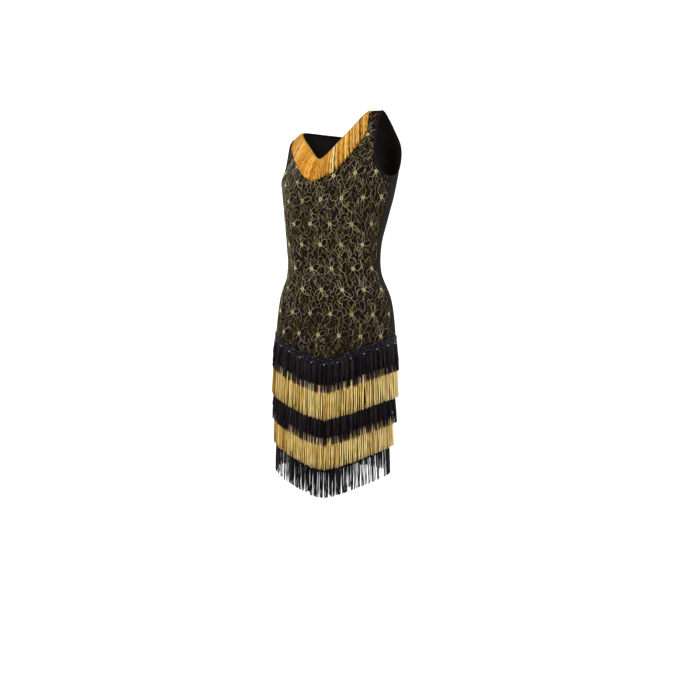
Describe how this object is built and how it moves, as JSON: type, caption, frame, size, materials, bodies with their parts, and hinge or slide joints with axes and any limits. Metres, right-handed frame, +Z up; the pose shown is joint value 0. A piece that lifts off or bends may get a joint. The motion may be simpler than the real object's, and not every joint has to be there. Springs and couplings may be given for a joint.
{
  "type": "flapper dress",
  "caption": "Sleeveless 1920s-style flapper dress: black knit with gold lace front, gold fringed V neck and black and gold fringe tiers that dip at the centre front, in worn form.",
  "frame": {"origin": "midway between the two shoulder straps, on the line where the wearer's shoulders carry them", "axes": "+Z up, -Y towards the front of the dress, +X towards the wearer's left side"},
  "size_m": [0.3467, 0.2616, 1.003],
  "materials": {
    "lace_knit": "black knit under metallic gold lace",
    "plain_knit": "matt black knit",
    "binding_black": "black bias binding",
    "fringe_black": "black rayon fringe",
    "fringe_gold": "gold rayon fringe"
  },
  "bodies": {
    "root": {"front_panel": "lace_knit", "back_panel": "plain_knit", "armhole_binding_left": "binding_black", "armhole_binding_right": "binding_black", "neck_binding": "binding_black", "neck_fringe": "fringe_gold", "fringe_black_1": "fringe_black", "fringe_gold_1": "fringe_gold", "fringe_black_2": "fringe_black", "fringe_gold_2": "fringe_gold", "fringe_black_3": "fringe_black"}
  },
  "joints": []
}
